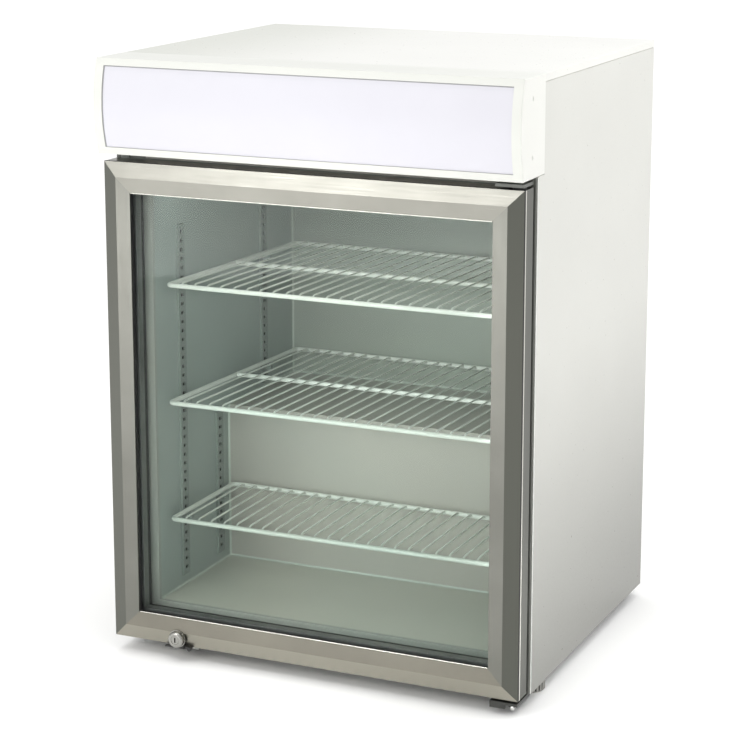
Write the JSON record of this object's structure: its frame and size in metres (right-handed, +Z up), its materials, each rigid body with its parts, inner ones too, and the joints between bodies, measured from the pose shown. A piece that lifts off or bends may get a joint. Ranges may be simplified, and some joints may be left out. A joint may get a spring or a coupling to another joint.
{
  "type": "countertop display freezer",
  "caption": "Upright countertop display freezer: insulated white cabinet with a hinged glazed aluminium door, lit sign canopy, wire shelves on slotted strips and a rear machine bay.",
  "frame": {"origin": "on the floor, under the centre of the bounding box", "axes": "+Z up, -Y out of the door's front, +X to the right of someone facing the door"},
  "size_m": [0.6, 0.533, 0.826],
  "materials": {
    "white_enamel": "gloss",
    "galvanised_sheet": "satin",
    "rigid_foam": "matte",
    "liner_enamel": "satin",
    "grey_plastic": "satin",
    "zinc_steel": "satin",
    "white_moulding": "gloss",
    "canopy_tray": "satin",
    "sign_acrylic": "gloss",
    "lamp_lens": "satin",
    "satin_aluminium": "satin",
    "spacer_aluminium": "matte",
    "clear_glass": "gloss",
    "black_rubber": "matte",
    "black_plastic": "satin",
    "bright_chrome": "gloss",
    "coated_wire": "gloss",
    "coil_aluminium": "satin",
    "motor_steel": "satin",
    "compressor_black": "gloss",
    "copper_pipe": "satin",
    "grille_enamel": "satin",
    "foot_rubber": "matte"
  },
  "bodies": {
    "cabinet": {"side_panel_left": "white_enamel", "side_panel_right": "white_enamel", "top_lid": "white_enamel", "base_pan": "galvanised_sheet", "back_panel": "galvanised_sheet", "evaporator_cover": "galvanised_sheet", "insulation_foam": "rigid_foam", "liner_left": "liner_enamel", "liner_right": "liner_enamel", "liner_back": "liner_enamel", "liner_step": "liner_enamel", "liner_floor": "liner_enamel", "liner_ceiling": "liner_enamel", "face_frame": "grey_plastic", "shelf_strips": "zinc_steel", "shelf_clips": "zinc_steel", "hinge_bracket_top": "zinc_steel", "hinge_bracket_bottom": "zinc_steel", "lock_keeper": "zinc_steel", "cover_screws": "zinc_steel", "canopy_cap_left": "white_moulding", "canopy_cap_right": "white_moulding", "canopy_top_rail": "white_moulding", "canopy_bottom_rail": "white_moulding", "canopy_tray": "canopy_tray", "sign_panel": "sign_acrylic", "led_batten": "lamp_lens", "cable_gland": "black_plastic", "evaporator_coil": "coil_aluminium", "condenser": "coil_aluminium", "evaporator_fan_motor": "motor_steel", "condenser_fan_motor": "motor_steel", "compressor": "compressor_black", "refrigerant_pipes": "copper_pipe", "rear_grille": "grille_enamel"},
    "door": {"door_stile_left": "satin_aluminium", "door_stile_right": "satin_aluminium", "door_rail_top": "satin_aluminium", "door_rail_bottom": "satin_aluminium", "door_corner_keys": "black_plastic", "glass_outer": "clear_glass", "glass_inner": "clear_glass", "glass_spacer": "spacer_aluminium", "glazing_seal": "black_rubber", "glazing_bead": "black_plastic", "door_gasket": "black_rubber", "hinge_bushes": "black_plastic", "lock_barrel": "bright_chrome", "lock_seat": "black_plastic"},
    "lock": {"lock_plug": "bright_chrome"},
    "shelf_top": {"shelf_top": "coated_wire"},
    "shelf_middle": {"shelf_middle": "coated_wire"},
    "shelf_bottom": {"shelf_bottom": "coated_wire"},
    "foot_front_left": {"foot_front_left": "foot_rubber"},
    "foot_front_right": {"foot_front_right": "foot_rubber"},
    "foot_rear_left": {"foot_rear_left": "foot_rubber"},
    "foot_rear_right": {"foot_rear_right": "foot_rubber"},
    "condenser_fan": {"condenser_fan_blade": "black_plastic"},
    "evaporator_fan": {"evaporator_fan_blade": "black_plastic"},
    "thermostat": {"thermostat_knob": "black_plastic"}
  },
  "joints": [
    {"name": "door_hinge", "type": "hinge", "parent": "cabinet", "child": "door", "pos_m": [0.285, -0.229, 0.355], "axis": [0, 0, 1], "range_deg": [0, 110]},
    {"name": "lock_turn", "type": "hinge", "parent": "door", "child": "lock", "pos_m": [-0.1965, -0.23, 0.034], "axis": [0, 1, 0], "range_deg": [0, 90]},
    {"name": "shelf_top_lift", "type": "slide", "parent": "cabinet", "child": "shelf_top", "axis": [0, 0, 1], "range_m": [0, 0.025]},
    {"name": "shelf_middle_lift", "type": "slide", "parent": "cabinet", "child": "shelf_middle", "axis": [0, 0, 1], "range_m": [0, 0.025]},
    {"name": "shelf_bottom_lift", "type": "slide", "parent": "cabinet", "child": "shelf_bottom", "axis": [0, 0, 1], "range_m": [0, 0.025]},
    {"name": "foot_front_left_turn", "type": "hinge", "parent": "cabinet", "child": "foot_front_left", "pos_m": [-0.275, -0.1405, 0.01], "axis": [0, 0, 1], "continuous": true},
    {"name": "foot_front_right_turn", "type": "hinge", "parent": "cabinet", "child": "foot_front_right", "pos_m": [0.275, -0.1405, 0.01], "axis": [0, 0, 1], "continuous": true},
    {"name": "foot_rear_left_turn", "type": "hinge", "parent": "cabinet", "child": "foot_rear_left", "pos_m": [-0.24, 0.2215, 0.01], "axis": [0, 0, 1], "continuous": true},
    {"name": "foot_rear_right_turn", "type": "hinge", "parent": "cabinet", "child": "foot_rear_right", "pos_m": [0.24, 0.2215, 0.01], "axis": [0, 0, 1], "continuous": true},
    {"name": "condenser_fan_spin", "type": "hinge", "parent": "cabinet", "child": "condenser_fan", "pos_m": [-0.2195, 0.1285, 0.114], "axis": [1, 0, 0], "continuous": true},
    {"name": "evaporator_fan_spin", "type": "hinge", "parent": "cabinet", "child": "evaporator_fan", "pos_m": [0, -0.0375, 0.677], "axis": [0, 0, 1], "continuous": true},
    {"name": "thermostat_turn", "type": "hinge", "parent": "cabinet", "child": "thermostat", "pos_m": [-0.244, 0.25, 0.078], "axis": [0, 1, 0], "range_deg": [0, 270]}
  ]
}
